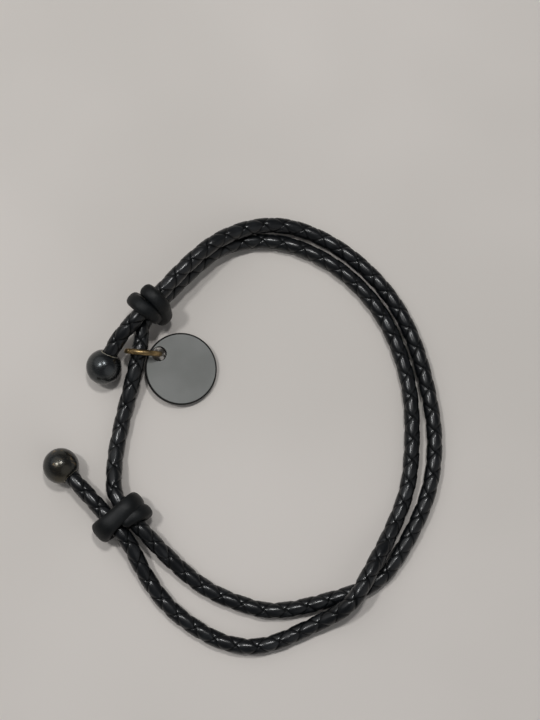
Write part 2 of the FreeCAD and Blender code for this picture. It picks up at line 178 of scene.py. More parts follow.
UPPER_TAIL = [
    end_in_ball(UPPER_BALL, UPPER_TAIL_BEND),
    UPPER_TAIL_BEND,
    strand_spot(UPPER_KNOT, +1, -KNOT_MOUTH),
    strand_spot(UPPER_KNOT, +1, 0.0),
]
OUTER_RUN = [
    strand_spot(UPPER_KNOT, +1, UPPER_STRAIGHT),
    *laid_row((-0.0012, 0.0406, 0.0031), (0.0068, 0.0423, 0.00105), (0.0145, 0.0403),
              (0.0223, 0.0354), (0.0295, 0.0278), (0.0340, 0.0190), (0.0367, 0.0088),
              (0.0381, -0.0016), (0.0367, -0.0121), (0.0317, -0.0223), (0.0262, -0.0297),
              (0.0188, -0.0324)),
    INNER_JOIN,
]
LOWER_INNER_RUN = [
    INNER_JOIN,
    INNER_STAY,
    *laid_row((-0.0010, -0.0337), (-0.0077, -0.0308), (-0.0132, -0.0264, 0.0004)),
    strand_spot(LOWER_KNOT, +1, 0.0055),
    strand_spot(LOWER_KNOT, +1, 0.0),
]
FRONT_RUN = [
    strand_spot(LOWER_KNOT, +1, 0.0),
    FRONT_AT_KNOT,
    laid(-0.0257, -0.0089, 0.0013),
    laid(-0.0255, -0.0043),
    FRONT_JOIN,
    laid(-0.0240, 0.0035),
    laid(-0.0228, 0.0079, 0.0010),
    BELOW_RING,
    ABOVE_RING,
    strand_spot(UPPER_KNOT, -1, -0.0029),
    strand_spot(UPPER_KNOT, -1, 0.0),
]
INNER_RUN = [
    strand_spot(UPPER_KNOT, -1, 0.0),
    strand_spot(UPPER_KNOT, -1, UPPER_STRAIGHT),
    *laid_row((-0.0013, 0.0386, 0.0003), (0.0060, 0.0390), (0.0130, 0.0369),
              (0.0201, 0.0326), (0.0267, 0.0256), (0.0308, 0.0175), (0.0332, 0.0082),
              (0.0334, -0.0016), (0.0325, -0.0110), (0.0289, -0.0196, 0.0002),
              (0.0241, -0.0276, 0.0035), (0.0205, -0.03395, 0.0035), (0.014095, -0.03748)),
    OUTER_JOIN,
]
LOWER_OUTER_RUN = [
    OUTER_JOIN,
    OUTER_STAY,
    *laid_row((-0.0039, -0.0413), (-0.0108, -0.0375), (-0.0159, -0.0331),
              (-0.0200, -0.0270, 0.0007)),
    strand_spot(LOWER_KNOT, -1, 0.0048),
    strand_spot(LOWER_KNOT, -1, 0.0),
]
LOWER_TAIL = [
    strand_spot(LOWER_KNOT, -1, -KNOT_MOUTH),
    LOWER_TAIL_BEND,
    end_in_ball(LOWER_BALL, LOWER_TAIL_BEND),
]

# the whole cord from its upper ball to its lower one, in the order that a finger follows it
CORD_PIECES = {
    "upper_cord": UPPER_TAIL + OUTER_RUN,
    "lower_inner_cord": LOWER_INNER_RUN,
    "front_cord": FRONT_RUN,
    "inner_cord": INNER_RUN,
    "lower_outer_cord": LOWER_OUTER_RUN + LOWER_TAIL,
}

# %% [markdown]
# A cord bends smoothly, so each stretch is a NURBS curve with the route's points as its
# control points. The curve is read back as a fine line of points, and each point remembers
# how far along the whole cord it is, which way the cord runs there and which way is
# sideways. The braid needs all three of these.

# %% Smooth lines
ROUTE_RESOLUTION = 16


def smooth_line(name, points):
    """The fine line of points of a NURBS curve over the route's points."""
    data = bpy.data.curves.new(name + "_route", "CURVE")
    data.dimensions = "3D"
    spline = data.splines.new("NURBS")
    spline.points.add(len(points) - 1)
    for control, point in zip(spline.points, points):
        control.co = (*point, 1)
    spline.order_u = 3
    spline.use_endpoint_u = True
    spline.resolution_u = ROUTE_RESOLUTION
    curve = bpy.data.objects.new(name + "_route", data)
    mesh = bpy.data.meshes.new_from_object(curve)
    line = [vertex.co.copy() for vertex in mesh.vertices]
    bpy.data.meshes.remove(mesh)
    bpy.data.objects.remove(curve)
    return line


def line_length(line):
    """How long a line of points is."""
    return sum((after - before).length for before, after in zip(line, line[1:]))


def line_with_facts(name, line, travel):
    """A mesh of the line alone, with travel, way and side kept on its points."""
    mesh = bpy.data.meshes.new(name + "_line")
    mesh.from_pydata(line, [(i, i + 1) for i in range(len(line) - 1)], [])
    travels = mesh.attributes.new("travel", "FLOAT", "POINT")
    ways = mesh.attributes.new("way", "FLOAT_VECTOR", "POINT")
    sides = mesh.attributes.new("side", "FLOAT_VECTOR", "POINT")
    last = len(line) - 1
    for i, point in enumerate(line):
        way = (line[min(i + 1, last)] - line[max(i - 1, 0)]).normalized()
        travels.data[i].value = travel
        ways.data[i].vector = way
        sides.data[i].vector = UP.cross(way).normalized()
        if i < last:
            travel += (line[i + 1] - point).length
    return mesh, travel


# %% [markdown]
# Node trees are easier to read as short sentences than as long lists of links. These
# helpers add a node, plug values or other nodes' outputs into it, and give back the output.

# %% Helpers for node trees
def plug(tree, source, socket):
    """Link another node's output to a socket, or set the socket to a value."""
    if isinstance(source, bpy.types.NodeSocket):
        tree.links.new(source, socket)
    else:
        socket.default_value = source


def add_node(tree, kind, sources=None, **settings):
    """Add a node, set its properties and plug numbers or sockets into its inputs."""
    node = tree.nodes.new(kind)
    for name, value in settings.items():
        setattr(node, name, value)
    for socket, source in (sources or {}).items():
        plug(tree, source, node.inputs[socket])
    return node


def maths(tree, operation, *sources):
    """A Math node's result."""
    node = add_node(tree, "ShaderNodeMath", dict(enumerate(sources)), operation=operation)
    return node.outputs[0]


def vectors(tree, operation, *sources):
    """A Vector Math node's result."""
    node = add_node(tree, "ShaderNodeVectorMath", dict(enumerate(sources)),
                    operation=operation)
    single = operation in ("DOT_PRODUCT", "LENGTH")
    return node.outputs["Value" if single else "Vector"]


def scaled(tree, vector, factor):
    """A vector times a number."""
    node = add_node(tree, "ShaderNodeVectorMath", {0: vector, "Scale": factor},
                    operation="SCALE")
    return node.outputs["Vector"]


def combined(tree, x, y, z=0.0):
    """A vector made of three numbers."""
    return add_node(tree, "ShaderNodeCombineXYZ", {"X": x, "Y": y, "Z": z}).outputs[0]


def noise(tree, place, scale, detail, roughness=0.5):
    """A Noise Texture's value."""
    node = add_node(tree, "ShaderNodeTexNoise", {"Vector": place, "Scale": scale,
                                                 "Detail": detail, "Roughness": roughness})
    return node.outputs[0]


def position(tree):
    """Where each point is at that step of the tree."""
    return tree.nodes.new("GeometryNodeInputPosition").outputs["Position"]


def moved(tree, geometry, **settings):
    """Points set to a Position, or shifted by an Offset."""
    node = add_node(tree, "GeometryNodeSetPosition", {"Geometry": geometry, **settings})
    return node.outputs["Geometry"]


def keep(tree, geometry, name, value, kind="FLOAT"):
    """Store a value on the points under a name."""
    node = add_node(tree, "GeometryNodeStoreNamedAttribute",
                    {"Geometry": geometry, "Name": name, "Value": value},
                    data_type=kind, domain="POINT")
    return node.outputs["Geometry"]


def kept(tree, name, kind="FLOAT"):
    """Read a value that was stored on the points."""
    node = add_node(tree, "GeometryNodeInputNamedAttribute", {"Name": name}, data_type=kind)
    return node.outputs["Attribute"]


# %% [markdown]
# The braid has four laces. Two wind one way round the cord and two the other way, and each
# goes over one and under one. All four meet in pairs at every quarter of the pitch, in turn
# above and below the cord and at its two sides. The first hand is on top above and below,
# the other at the sides. So one rule says for any place on the cord which hand is on top: a
# cosine of the way along it and one of the angle round it. Geometry Nodes suit this: they
# sweep a flat lace along each winding line, and then move every point in or out by the rule.
# The tree is built below in small steps, each a function with the sentence that it stands for.

# %% The braid's sizes
BRAID_SIZES = {
    "Pitch": 0.0086,
    "Lace Width": 0.0034,
    "Lace Thickness": 0.00040,
    "Weave Depth": 0.00012,
    "Cord Radius": CORD_RADIUS,
    "Step": 0.00026,
    "Unevenness": 0.00004,
}
LACE_COUNT = 4
LACE_SIDES = 16
LACE_SQUARENESS = 0.8
DIVE_STEEPNESS = 1.5
UNEVEN_EVERY = 420.0


# %% The rule of over and under
def in_out_by_rule(tree, hand, turn, wound):
    """How much a lace is on top, from -1 under to +1 over, eased towards both ends."""
    onwards = maths(tree, "COSINE", maths(tree, "MULTIPLY", wound, 2.0))
    around = maths(tree, "COSINE", maths(tree, "MULTIPLY", turn, 2.0))
    wave = maths(tree, "MULTIPLY", maths(tree, "SUBTRACT", onwards, around), DIVE_STEEPNESS)
    wave = maths(tree, "MAXIMUM", maths(tree, "MINIMUM", wave, 1.0), -1.0)

    # the cubic that is level where the wave is clipped, so that no lace has a kink
    cubed = maths(tree, "POWER", wave, 3.0)
    softened = maths(tree, "SUBTRACT", maths(tree, "MULTIPLY", wave, 1.5),
                     maths(tree, "MULTIPLY", cubed, 0.5))
    return maths(tree, "MULTIPLY", hand, softened)


# %% A lace's section
def lace_profile(tree, half_width, half_thickness):
    """A soft flat oval that remembers how far across and how thick each point is."""
    circle = add_node(tree, "GeometryNodeCurvePrimitiveCircle",
                      {"Resolution": LACE_SIDES, "Radius": 1.0}, mode="RADIUS")
    place = add_node(tree, "ShaderNodeSeparateXYZ", {0: position(tree)})

    def fuller(value):
        """A coordinate of the circle moved out a little, which makes it a soft square."""
        size = maths(tree, "POWER", maths(tree, "ABSOLUTE", value), LACE_SQUARENESS)
        return maths(tree, "MULTIPLY", size, maths(tree, "SIGN", value))

    across = fuller(place.outputs["X"])
    thick = maths(tree, "MULTIPLY", fuller(place.outputs["Y"]), half_thickness)
    profile = keep(tree, circle.outputs["Curve"], "across", across)
    profile = keep(tree, profile, "thick", thick)
    wide = maths(tree, "MULTIPLY", kept(tree, "across"), half_width)
    return moved(tree, profile, Position=combined(tree, kept(tree, "thick"), wide))


# %% Places round the cord
def cord_directions(tree):
    """The way along the cord, the way to its side, and the way up from both."""
    way = vectors(tree, "NORMALIZE", kept(tree, "way", "FLOAT_VECTOR"))
    side = vectors(tree, "NORMALIZE", kept(tree, "side", "FLOAT_VECTOR"))
    return way, side, vectors(tree, "CROSS_PRODUCT", way, side)


def outwards(tree, turn):
    """The way out from the cord's axis, at an angle from its side."""
    _, side, rise = cord_directions(tree)
    return vectors(tree, "ADD", scaled(tree, side, maths(tree, "COSINE", turn)),
                   scaled(tree, rise, maths(tree, "SINE", turn)))


def angle_wound(tree, travel, pitch):
    """The angle that a lace has wound round the cord after a travel along it."""
    return maths(tree, "DIVIDE", maths(tree, "MULTIPLY", travel, 2 * math.pi), pitch)


def half_of(tree, value):
    """Half of a value."""
    return maths(tree, "MULTIPLY", value, 0.5)


def top_radius(tree, given):
    """How far a lace's middle is from the cord's axis, where the lace is on top."""
    return maths(tree, "SUBTRACT", given["Cord Radius"], half_of(tree, given["Lace Thickness"]))


# %% Wind the laces
def wind_laces(tree, given):
    """Flat laces swept along lines that wind round the cord's axis."""
    line = add_node(tree, "GeometryNodeMeshToCurve", {"Mesh": given["Geometry"]})
    fine = add_node(tree, "GeometryNodeResampleCurve",
                    {"Curve": line.outputs["Curve"], "Length": given["Step"]}, mode="LENGTH")
    axis = keep(tree, fine.outputs["Curve"], "axis_place", position(tree), "FLOAT_VECTOR")
    copies = add_node(tree, "GeometryNodeDuplicateElements",
                      {"Geometry": axis, "Amount": LACE_COUNT}, domain="SPLINE")
    laces = keep(tree, copies.outputs["Geometry"], "lace", copies.outputs["Duplicate Index"])

    # two laces of each hand start half a turn apart, at the cord's top and bottom
    lace = kept(tree, "lace")
    first_pair = maths(tree, "LESS_THAN", lace, LACE_COUNT / 2 - 0.5)
    hand = maths(tree, "SUBTRACT", maths(tree, "MULTIPLY", first_pair, 2.0), 1.0)
    laces = keep(tree, laces, "hand", hand)
    wound = angle_wound(tree, kept(tree, "travel"), given["Pitch"])
    own_half = maths(tree, "MULTIPLY", maths(tree, "MODULO", lace, 2.0), math.pi)
    angle = maths(tree, "ADD", maths(tree, "MULTIPLY", kept(tree, "hand"), wound), own_half)
    out = outwards(tree, maths(tree, "ADD", angle, math.pi / 2))
    place = vectors(tree, "ADD", kept(tree, "axis_place", "FLOAT_VECTOR"),
                    scaled(tree, out, top_radius(tree, given)))
    rails = keep(tree, moved(tree, laces, Position=place), "out", out, "FLOAT_VECTOR")

    # each lace lies flat on the cord, because its rail's normal points outwards
    faced = add_node(tree, "GeometryNodeSetCurveNormal",
                     {"Curve": rails, "Normal": kept(tree, "out", "FLOAT_VECTOR")},
                     mode="FREE")
    profile = lace_profile(tree, half_of(tree, given["Lace Width"]),
                           half_of(tree, given["Lace Thickness"]))
    swept = add_node(tree, "GeometryNodeCurveToMesh",
                     {"Curve": faced.outputs["Curve"], "Profile Curve": profile,
                      "Fill Caps": True})
    return swept.outputs["Mesh"]


# %% Weave them
def weave(tree, given, laces):
    """Every point of the swept laces moved in or out by the rule."""
    way, side, rise = cord_directions(tree)
    offset = vectors(tree, "SUBTRACT", position(tree),
                     kept(tree, "axis_place", "FLOAT_VECTOR"))
    sideways = vectors(tree, "DOT_PRODUCT", offset, side)
    upwards = vectors(tree, "DOT_PRODUCT", offset, rise)
    turn = maths(tree, "ARCTAN2", upwards, sideways)
    radius = maths(tree, "SQRT", maths(tree, "ADD", maths(tree, "POWER", sideways, 2.0),
                                       maths(tree, "POWER", upwards, 2.0)))
    ahead = vectors(tree, "DOT_PRODUCT", offset, way)
    travel_here = maths(tree, "ADD", kept(tree, "travel"), ahead)
    wound_here = angle_wound(tree, travel_here, given["Pitch"])
    over = in_out_by_rule(tree, kept(tree, "hand"), turn, wound_here)

    # no lace is pulled quite as tight as the next, so each wanders in and out a little
    uneven = noise(tree, combined(tree, kept(tree, "travel"), kept(tree, "lace")),
                   UNEVEN_EVERY, detail=1.0)
    wander = maths(tree, "MULTIPLY", maths(tree, "SUBTRACT", uneven, 0.5),
                   given["Unevenness"])
    middle = maths(tree, "SUBTRACT", top_radius(tree, given), given["Weave Depth"])
    wanted = maths(tree, "ADD", middle, maths(tree, "MULTIPLY", over, given["Weave Depth"]))
    wanted = maths(tree, "ADD", maths(tree, "ADD", wanted, kept(tree, "thick")), wander)
    shift = scaled(tree, outwards(tree, turn), maths(tree, "SUBTRACT", wanted, radius))
    return moved(tree, keep(tree, laces, "over", over), Offset=shift)


# %% The braid's tree
def make_braid_tree(material):
    """The whole tree: from a line with its facts to a braided cord of real faces."""
    tree = bpy.data.node_groups.new("four_lace_braid", "GeometryNodeTree")
    tree.interface.new_socket("Geometry", in_out="INPUT", socket_type="NodeSocketGeometry")
    for name in BRAID_SIZES:
        tree.interface.new_socket(name, in_out="INPUT", socket_type="NodeSocketFloat")
    tree.interface.new_socket("Geometry", in_out="OUTPUT", socket_type="NodeSocketGeometry")
    given = tree.nodes.new("NodeGroupInput").outputs
    woven = weave(tree, given, wind_laces(tree, given))
    smooth = add_node(tree, "GeometryNodeSetShadeSmooth", {"Geometry": woven})
    real = add_node(tree, "GeometryNodeRealizeInstances",
                    {"Geometry": smooth.outputs["Geometry"]})
    finished = add_node(tree, "GeometryNodeSetMaterial",
                        {"Geometry": real.outputs["Geometry"], "Material": material})
    add_node(tree, "NodeGroupOutput", {"Geometry": finished.outputs["Geometry"]})
    return tree


# %% [markdown]
# Leather is never one flat colour. A fine grain breaks up its shine, it is a little lighter
# where it rubs, and painted shade darkens its folds. The grain is used by the laces and
# by the keeper cords, so it is a node group that each material places with its own values.

# %% The leather grain group
PORE_STEEPNESS = 5.0
CREASES_TO_PORES = 0.6
MOTTLE_TO_PORES = 0.12


def new_group(name, inputs, outputs):
    """An empty shader node group with number or vector inputs and number outputs."""
    tree = bpy.data.node_groups.new(name, "ShaderNodeTree")
    for socket, kind in inputs.items():
        tree.interface.new_socket(socket, in_out="INPUT", socket_type=kind)
    for socket in outputs:
        tree.interface.new_socket(socket, in_out="OUTPUT", socket_type="NodeSocketFloat")
    return tree, tree.nodes.new("NodeGroupInput").outputs


def make_grain_group():
    """Height of fine pores and creases, and a broad mottle, from one place vector."""
    tree, given = new_group("leather_grain",
                            {"Place": "NodeSocketVector", "Fineness": "NodeSocketFloat"},
                            ["Height", "Mottle"])
    pores = add_node(tree, "ShaderNodeTexVoronoi",
                     {"Vector": given["Place"], "Scale": given["Fineness"]},
                     feature="DISTANCE_TO_EDGE")
    crease_scale = maths(tree, "MULTIPLY", given["Fineness"], CREASES_TO_PORES)
    creases = noise(tree, given["Place"], crease_scale, detail=5.0, roughness=0.6)
    mottle_scale = maths(tree, "MULTIPLY", given["Fineness"], MOTTLE_TO_PORES)
    mottle = noise(tree, given["Place"], mottle_scale, detail=3.0)
    steep = maths(tree, "MULTIPLY", pores.outputs["Distance"], PORE_STEEPNESS)
    edge = maths(tree, "MINIMUM", steep, 1.0)
    height = maths(tree, "ADD", half_of(tree, edge), half_of(tree, creases))
    add_node(tree, "NodeGroupOutput", {"Height": height, "Mottle": mottle})
    return tree


GRAIN = make_grain_group()
print("grain group: %d nodes" % len(GRAIN.nodes))


# %% Helpers for materials
def feed(tree, node, **sources):
    """Plug sources into a node's sockets, named with underscores for spaces."""
    for name, source in sources.items():
        plug(tree, source, node.inputs[name.replace("_", " ")])


def new_material(name, **constants):
    """A material with one Principled shader and its constant sockets set."""
    material = bpy.data.materials.new(name)
    material.use_nodes = True
    shader = material.node_tree.nodes["Principled BSDF"]
    feed(material.node_tree, shader, **constants)
    return material, material.node_tree, shader


def use_group(tree, group, **sources):
    """A node group placed in a material and fed."""
    node = add_node(tree, "ShaderNodeGroup", node_tree=group)
    feed(tree, node, **sources)
    return node.outputs


def read(tree, name):
    """A number that the mesh keeps on its points."""
    return add_node(tree, "ShaderNodeAttribute", attribute_name=name).outputs["Fac"]


def object_place(tree):
    """The place on the piece in the object's own coordinates."""
    return tree.nodes.new("ShaderNodeTexCoord").outputs["Object"]


def ranged(tree, value, low, high, to_low=0.0, to_high=1.0):
    """A value's range mapped to another, clamped and eased."""
    node = add_node(tree, "ShaderNodeMapRange",
                    {"Value": value, "From Min": low, "From Max": high,
                     "To Min": to_low, "To Max": to_high}, interpolation_type="SMOOTHSTEP")
    return node.outputs["Result"]


def mixed(tree, share, first, second):
    """Two colours mixed by a share."""
    node = add_node(tree, "ShaderNodeMix", data_type="RGBA")
    for socket, source in (("Factor_Float", share), ("A_Color", first), ("B_Color", second)):
        plug(tree, source, [item for item in node.inputs if item.identifier == socket][0])
    return [item for item in node.outputs if item.identifier == "Result_Color"][0]


def bumped(tree, shader, height, depth):
    """Plug a height into the shader's normal."""
    node = add_node(tree, "ShaderNodeBump", {"Height": height, "Distance": depth})
    feed(tree, shader, Normal=node.outputs["Normal"])


# %% [markdown]
# Each lace is dyed black and finished with wax, so it shines on its crown and goes dull where
# it dives under its neighbour. There, and towards its edges, its colour is also darkened as
# painted shade. The mesh knows both: "over" says how much a point is on top, and "across"
# where it is between the lace's edges. The wax is a clear coat, and its weight follows them.
# The grain follows the lace, because its place is made from the way along and across.

# %% The laces' finish
# the colour in the dips and at the laces' edges is painted shade; the worn colour is real
# rubbing
LACE_PAINTED_SHADE = (0.002, 0.0025, 0.003, 1)
LACE_FACE = (0.0030, 0.0038, 0.0048, 1)
LACE_WORN = (0.009, 0.011, 0.013, 1)
LACE_WAX = (0.5, 0.78)
LACE_ROUGHNESS = (0.35, 0.55)
LACE_GRAIN_DEPTH = 0.000006
LACE_GRAIN_FINENESS = 2600.0
LACE_GRAIN_HALF_WIDTH = 0.0013
LACE_GRAIN_APART = 0.01


def make_lace_finish():
    """Black waxed leather, shiny on the crowns and dull in the dips, where its colour is painted
    shade.
    """
    material, tree, shader = new_material("braided_leather", Specular_IOR_Level=0.12,
                                          Coat_Roughness=0.23)
    across = read(tree, "across")
    own_place = maths(tree, "MULTIPLY", read(tree, "lace"), LACE_GRAIN_APART)
    place = combined(tree, read(tree, "travel"),
                     maths(tree, "MULTIPLY", across, LACE_GRAIN_HALF_WIDTH), own_place)
    grain = use_group(tree, GRAIN, Place=place, Fineness=LACE_GRAIN_FINENESS)
    top = ranged(tree, read(tree, "over"), -0.2, 0.9)
    crown = ranged(tree, maths(tree, "ABSOLUTE", across), 1.0, 0.6)
    shown = maths(tree, "MULTIPLY", top, crown)
    rubbed = maths(tree, "MULTIPLY", shown, ranged(tree, grain["Mottle"], 0.5, 0.75))
    # the dye's colour, darkened with painted shade where the lace dives under and towards its
    # edges
    dyed = mixed(tree, shown, LACE_PAINTED_SHADE, LACE_FACE)
    wax = ranged(tree, grain["Mottle"], 0.3, 0.7, *LACE_WAX)
    feed(tree, shader, Base_Color=mixed(tree, rubbed, dyed, LACE_WORN),
         Coat_Weight=maths(tree, "MULTIPLY", ranged(tree, shown, 0.03, 0.35), wax),
         Roughness=ranged(tree, grain["Mottle"], 0.3, 0.7, *LACE_ROUGHNESS))
    bumped(tree, shader, grain["Height"], LACE_GRAIN_DEPTH)
    return material


LACE_FINISH = make_lace_finish()
BRAID = make_braid_tree(LACE_FINISH)
print("braid tree: %d nodes" % len(BRAID.nodes))


# %% Helpers for meshes
HELPER_ATTRIBUTES = ("axis_place", "way", "side", "out", "thick", "hand")


def braid_mesh(name, line, travel):
    """The braid along one stretch as a plain mesh, and the travel at the stretch's end."""
    mesh, travel_after = line_with_facts(name, line, travel)
    carrier = show(name + "_line", mesh)
    modifier = carrier.modifiers.new("braid", "NODES")
    modifier.node_group = BRAID
    for item in BRAID.interface.items_tree:
        if item.in_out == "INPUT" and item.name in BRAID_SIZES:
            modifier[item.identifier] = BRAID_SIZES[item.name]
    carrier.update_tag()
    bpy.context.view_layer.update()
    evaluated = carrier.evaluated_get(bpy.context.evaluated_depsgraph_get())
    woven = bpy.data.meshes.new_from_object(evaluated)
    bpy.data.objects.remove(carrier)
    for attribute in HELPER_ATTRIBUTES:
        woven.attributes.remove(woven.attributes[attribute])
    woven.name = name
    return woven, travel_after


def turn_faces_outwards(mesh):
    """Make every closed shell's faces point out of it."""
    shape = bmesh.new()
    shape.from_mesh(mesh)
    bmesh.ops.recalc_face_normals(shape, faces=shape.faces)
    shape.to_mesh(mesh)
    shape.free()


# %% Braid every stretch
lines = {name: smooth_line(name, points) for name, points in CORD_PIECES.items()}
cords = {}
travelled = 0.0
for name, line in lines.items():
    woven, travelled = braid_mesh(name, line, travelled)
    turn_faces_outwards(woven)
    cords[name] = show(name, woven)
    print("%s: %.1f mm, %d faces" % (name, line_length(line) * 1000, len(woven.polygons)))
print("whole cord %.1f mm" % (travelled * 1000))

# %% [markdown]
# Each stretch now stands for its solids. Most of the cord stays where it is. The three
# stretches that run into the lower knot only have their place baked into their meshes; the
# table below says where each would stay and from where it would go with the knot.

# %% What the stretches stand for and how they move
CORD_FACTS = {
    "upper_cord": (["upper_tail", "outer_run"], UPPER_TAIL_BEND),
    "lower_inner_cord": (["lower_inner_run"], INNER_JOIN),
    "front_cord": (["lower_front_run", "upper_front_run"], FRONT_AT_KNOT),
    "inner_cord": (["inner_run"], strand_spot(UPPER_KNOT, -1, KNOT_MOUTH)),
    "lower_outer_cord": (["lower_outer_run", "lower_tail"], OUTER_JOIN),
}
# a sliding stretch stays from its first place on, and goes with the knot from its second
PUSHED_FROM = 0.0045
SLIDING = {
    "lower_inner_cord": (INNER_STAY, strand_spot(LOWER_KNOT, +1, PUSHED_FROM)),
    "front_cord": (laid(-0.0228, 0.0079), strand_spot(LOWER_KNOT, +1, -PUSHED_FROM)),
    "lower_outer_cord": (OUTER_STAY, strand_spot(LOWER_KNOT, -1, PUSHED_FROM)),
}

for name, piece in cords.items():
    nodes, leaves_at = CORD_FACTS[name]
    if name in SLIDING:
        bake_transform(piece)
    else:
        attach(piece, "root")
    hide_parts(*nodes)
    print("%s stands for %s" % (name, " and ".join(nodes)))

# %% [markdown]
# A keeper knot is a short smooth cord tied once round both strands and pulled tight. It goes
# down one side, slants underneath, comes up the other side, crosses the top as a broad band
# and goes down beside its own start. Its line round the two strands is worked out, and the
# cord is skinned along it with a section that spreads where it presses on the strands. A tie
# says where its cord lies along the strands, and for every few half loops how wide and thick
# the cord is there. The upper knot has a little slack, because it slides on strands that
# curve.

# %% Skin a row of rings
WELD_DISTANCE = 1e-7


def skin(name, rings, loop=False):
    """A mesh over rings of equally many points, closed round as a loop or capped."""
    shape = bmesh.new()
    rows = [[shape.verts.new(point) for point in ring] for ring in rings]
    pairs = list(zip(rows, rows[1:]))
    if loop:
        pairs.append((rows[-1], rows[0]))
    for first, second in pairs:
        for i in range(len(first)):
            j = (i + 1) % len(first)
            shape.faces.new((first[i], first[j], second[j], second[i]))
    if not loop:
        shape.faces.new(rows[0])
        shape.faces.new(rows[-1])
    bmesh.ops.remove_doubles(shape, verts=shape.verts, dist=WELD_DISTANCE)
    bmesh.ops.recalc_face_normals(shape, faces=shape.faces)
    mesh = bpy.data.meshes.new(name)
    shape.to_mesh(mesh)
    shape.free()
    mesh.shade_smooth()
    return mesh


# %% The two ties
LOBE_LOOPS = (-0.6, 0.0, 0.5, 1.0, 1.5, 2.0, 2.5)
UPPER_TIE = {
    "near": 0.0015, "left": -0.0006, "far": -0.0016, "slack": 0.00008,
    "half_widths": (0.0012, 0.00145, 0.0015, 0.0016, 0.0016, 0.0015, 0.0011),
    "half_thicknesses": (0.0009, 0.00110, 0.00110, 0.00110, 0.00112, 0.00112, 0.00095),
}
LOWER_TIE = {
    "near": 0.0019, "left": -0.0006, "far": -0.00085, "slack": 0.0,
    "half_widths": (0.0012, 0.0015, 0.0016, 0.0022, 0.0018, 0.0018, 0.0012),
    "half_thicknesses": (0.00075, 0.00115, 0.00115, 0.00115, 0.00110, 0.00115, 0.0009),
}
KEEPER_TUCK = 0.14
KEEPER_REACH = STRAND_SPACING / 2
KEEPER_WRAP = CORD_RADIUS + KEEPER_CLEARANCE + KEEPER_DIAMETER / 2
KEEPER_QUARTER = math.pi / 2 * KEEPER_WRAP
KEEPER_HALF_LOOP = 2 * (KEEPER_QUARTER + KEEPER_REACH)
print("half a loop round both strands is %.1f mm" % (KEEPER_HALF_LOOP * 1000))


# %% The line of a keeper knot
def round_the_pair(travel):
    """Where a travel round both strands is, across and up, and its way outwards."""
    travel = travel % (2 * KEEPER_HALF_LOOP)
    other_side = travel > KEEPER_HALF_LOOP
    travel = travel % KEEPER_HALF_LOOP
    if travel < 2 * KEEPER_QUARTER:
        turn = travel / KEEPER_WRAP
        out = Vector((math.sin(turn), math.cos(turn)))
        place = out * KEEPER_WRAP + Vector((KEEPER_REACH, 0))
    else:
        out = Vector((0, -1))
        place = Vector((KEEPER_REACH - (travel - 2 * KEEPER_QUARTER), -KEEPER_WRAP))
    return (-place, -out) if other_side else (place, out)


def eased(low, high, share):
    """From low to high, starting and stopping softly."""
    return low + (high - low) * (1 - math.cos(math.pi * share)) / 2


def eased_at(loops, values):
    """A value between the ones at LOBE_LOOPS, eased from each to the next."""
    table = list(zip(LOBE_LOOPS, values))
    for (before, low), (after, high) in zip(table, table[1:]):
        if loops <= after:
            return eased(low, high, max(0.0, (loops - before) / (after - before)))
    return values[-1]


def along_strands(loops, tie):
    """Where the keeper is along the strands, after so many half loops round them."""
    if loops < 0:
        return tie["near"] + loops * KEEPER_HALF_LOOP * KEEPER_TUCK
    if loops < 1:
        return eased(tie["near"], tie["left"], loops)
    return eased(tie["left"], tie["far"], min(1.0, loops - 1))


# %% Stations and rings of a keeper knot
KEEPER_SAMPLES = 150
KEEPER_SIDES = 28
KEEPER_FULLNESS = 0.86
ROUNDED_SAMPLES = 5
LEAST_END = 0.02


def keeper_stations(knot, tie, heading_sign, hand):
    """Points along the keeper's middle, its way outwards there and the half loops so far."""
    forward, across = knot_axes(knot)
    along = forward * heading_sign
    up = along.cross(across) * hand
    middle = knot_middle(knot)
    first = -KEEPER_DIAMETER
    last = KEEPER_QUARTER + 2 * KEEPER_HALF_LOOP + KEEPER_DIAMETER
    stations = []
    for i in range(KEEPER_SAMPLES + 1):
        travel = first + (last - first) * i / KEEPER_SAMPLES
        place, out = round_the_pair(travel)
        loops = (travel - KEEPER_QUARTER) / KEEPER_HALF_LOOP
        grown = eased_at(loops, tie["half_thicknesses"]) - KEEPER_DIAMETER / 2 + tie["slack"]
        place = place + out * grown
        point = middle + along * along_strands(loops, tie) + across * place.x + up * place.y
        stations.append((point, across * out.x + up * out.y, loops))
    return stations


def soft_power(value):
    """A sine or cosine made a little fuller, so that a circle becomes a soft square."""
    return math.copysign(abs(value) ** KEEPER_FULLNESS, value)


def keeper_rings(stations, tie):
    """Rings round the stations, with the tie's widths and rounded ends."""
    rings = []
    for i, (point, out, loops) in enumerate(stations):
        ahead = stations[min(i + 1, KEEPER_SAMPLES)][0]
        behind = stations[max(i - 1, 0)][0]
        sideways = (ahead - behind).normalized().cross(out).normalized()
        from_end = min(1.0, min(i, KEEPER_SAMPLES - i) / ROUNDED_SAMPLES)
        rounding = max(LEAST_END, math.sqrt(max(0.0, 1 - (1 - from_end) ** 2)))
        wide = eased_at(loops, tie["half_widths"]) * rounding
        thick = eased_at(loops, tie["half_thicknesses"]) * rounding
        ring = []
        for j in range(KEEPER_SIDES):
            turn = 2 * math.pi * j / KEEPER_SIDES
            ring.append(point + sideways * (soft_power(math.cos(turn)) * wide)
                        + out * (soft_power(math.sin(turn)) * thick))
        rings.append(ring)
    return rings


# %% [markdown]
# The keeper cords are smoother and duller than the laces: a rounded lace with a soft wax
# finish, fine pores and faint stretch lines. Their pattern sits on the object's own
# coordinates, because it has no direction.

# %% The keepers' finish
KEEPER_DARK = (0.0022, 0.0030, 0.0034, 1)
KEEPER_FACE = (0.0042, 0.0055, 0.0062, 1)
KEEPER_ROUGHNESS = (0.42, 0.55)
KEEPER_GRAIN_DEPTH = 0.00002
KEEPER_GRAIN_FINENESS = 3000.0


